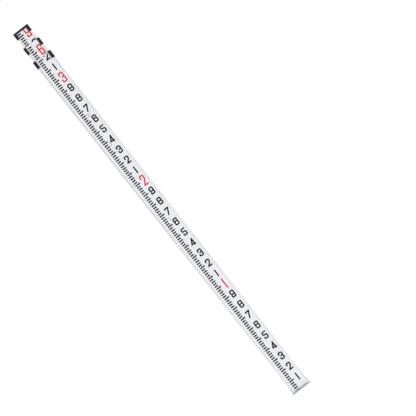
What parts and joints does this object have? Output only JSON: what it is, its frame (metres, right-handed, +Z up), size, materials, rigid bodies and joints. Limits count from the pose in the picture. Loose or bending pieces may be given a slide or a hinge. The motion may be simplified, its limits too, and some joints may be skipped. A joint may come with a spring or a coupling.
{
  "type": "telescoping leveling rod",
  "caption": "Telescoping leveling rod of nested aluminium sections with a graduated face, black collars, a cam lever lock and a cast foot.",
  "frame": {"origin": "middle of the outer section's outline on the foot's flat underside, where the scale reads zero", "axes": "+Z up the rod, the graduated face looks along -Y, +X to the reader's right"},
  "size_m": [0.0508, 0.0401, 1.0617],
  "materials": {
    "aluminium_outer": "satin anodised extrusion",
    "aluminium_middle": "satin anodised extrusion",
    "aluminium_inner": "satin anodised extrusion",
    "scale_white": "printed white film",
    "cast_shoe": "grey-blue painted casting",
    "steel_screw": "zinc plated",
    "rubber": "matt",
    "rivet_aluminium": "satin",
    "rivet_black": "black oxide",
    "black_nylon": "moulded, fine texture",
    "black_lever": "moulded, satin",
    "guide_plastic": "natural acetal",
    "steel_pin": "ground",
    "rubber_pad": "matt",
    "spring_steel": "rolled strip"
  },
  "bodies": {
    "outer_section": {"outer_tube": "aluminium_outer", "outer_scale": "scale_white", "foot_shoe": "cast_shoe", "foot_rivets": "rivet_aluminium", "foot_screw": "steel_screw", "foot_bumper": "rubber", "lower_collar": "black_nylon", "lower_collar_rivets": "rivet_black", "lever_pin": "steel_pin", "outer_stop_rivets": "rivet_aluminium"},
    "middle_section": {"middle_tube": "aluminium_middle", "middle_scale": "scale_white", "middle_collar": "black_nylon", "middle_collar_rivets": "rivet_black", "middle_guide": "guide_plastic", "middle_guide_rivets": "rivet_aluminium", "middle_bumper": "rubber", "middle_stop_rivets": "rivet_aluminium", "detent_bush": "black_nylon"},
    "inner_section": {"inner_tube": "aluminium_inner", "inner_scale": "scale_white", "inner_guide": "guide_plastic", "inner_guide_rivets": "rivet_aluminium", "detent_spring": "spring_steel", "end_cap": "black_nylon", "end_cap_rivet": "rivet_aluminium"},
    "lever": {"clamp_lever": "black_lever"},
    "pad": {"brake_pad": "rubber_pad"},
    "detent": {"detent_button": "black_lever"}
  },
  "joints": [
    {"name": "middle_slide", "type": "slide", "parent": "outer_section", "child": "middle_section", "axis": [0, 0, 1], "range_m": [0, 0.832]},
    {"name": "inner_slide", "type": "slide", "parent": "middle_section", "child": "inner_section", "axis": [0, 0, 1], "range_m": [0, 0.863]},
    {"name": "lever_swing", "type": "hinge", "parent": "outer_section", "child": "lever", "pos_m": [-0.009, 0.0206, 0.956], "axis": [0, 0, 1], "range_deg": [0, 100]},
    {"name": "pad_press", "type": "slide", "parent": "outer_section", "child": "pad", "axis": [0, 1, 0], "range_m": [0, 0.0005]},
    {"name": "detent_press", "type": "slide", "parent": "inner_section", "child": "detent", "axis": [0, -1, 0], "range_m": [0, 0.0015], "stiffness_N_per_m": 600, "springref_m": -0.006, "deforming": ["detent_spring"]}
  ],
  "couplings": [
    {"joint": "pad_press", "follows": "lever_swing", "m_per_rad": 0.000286}
  ]
}
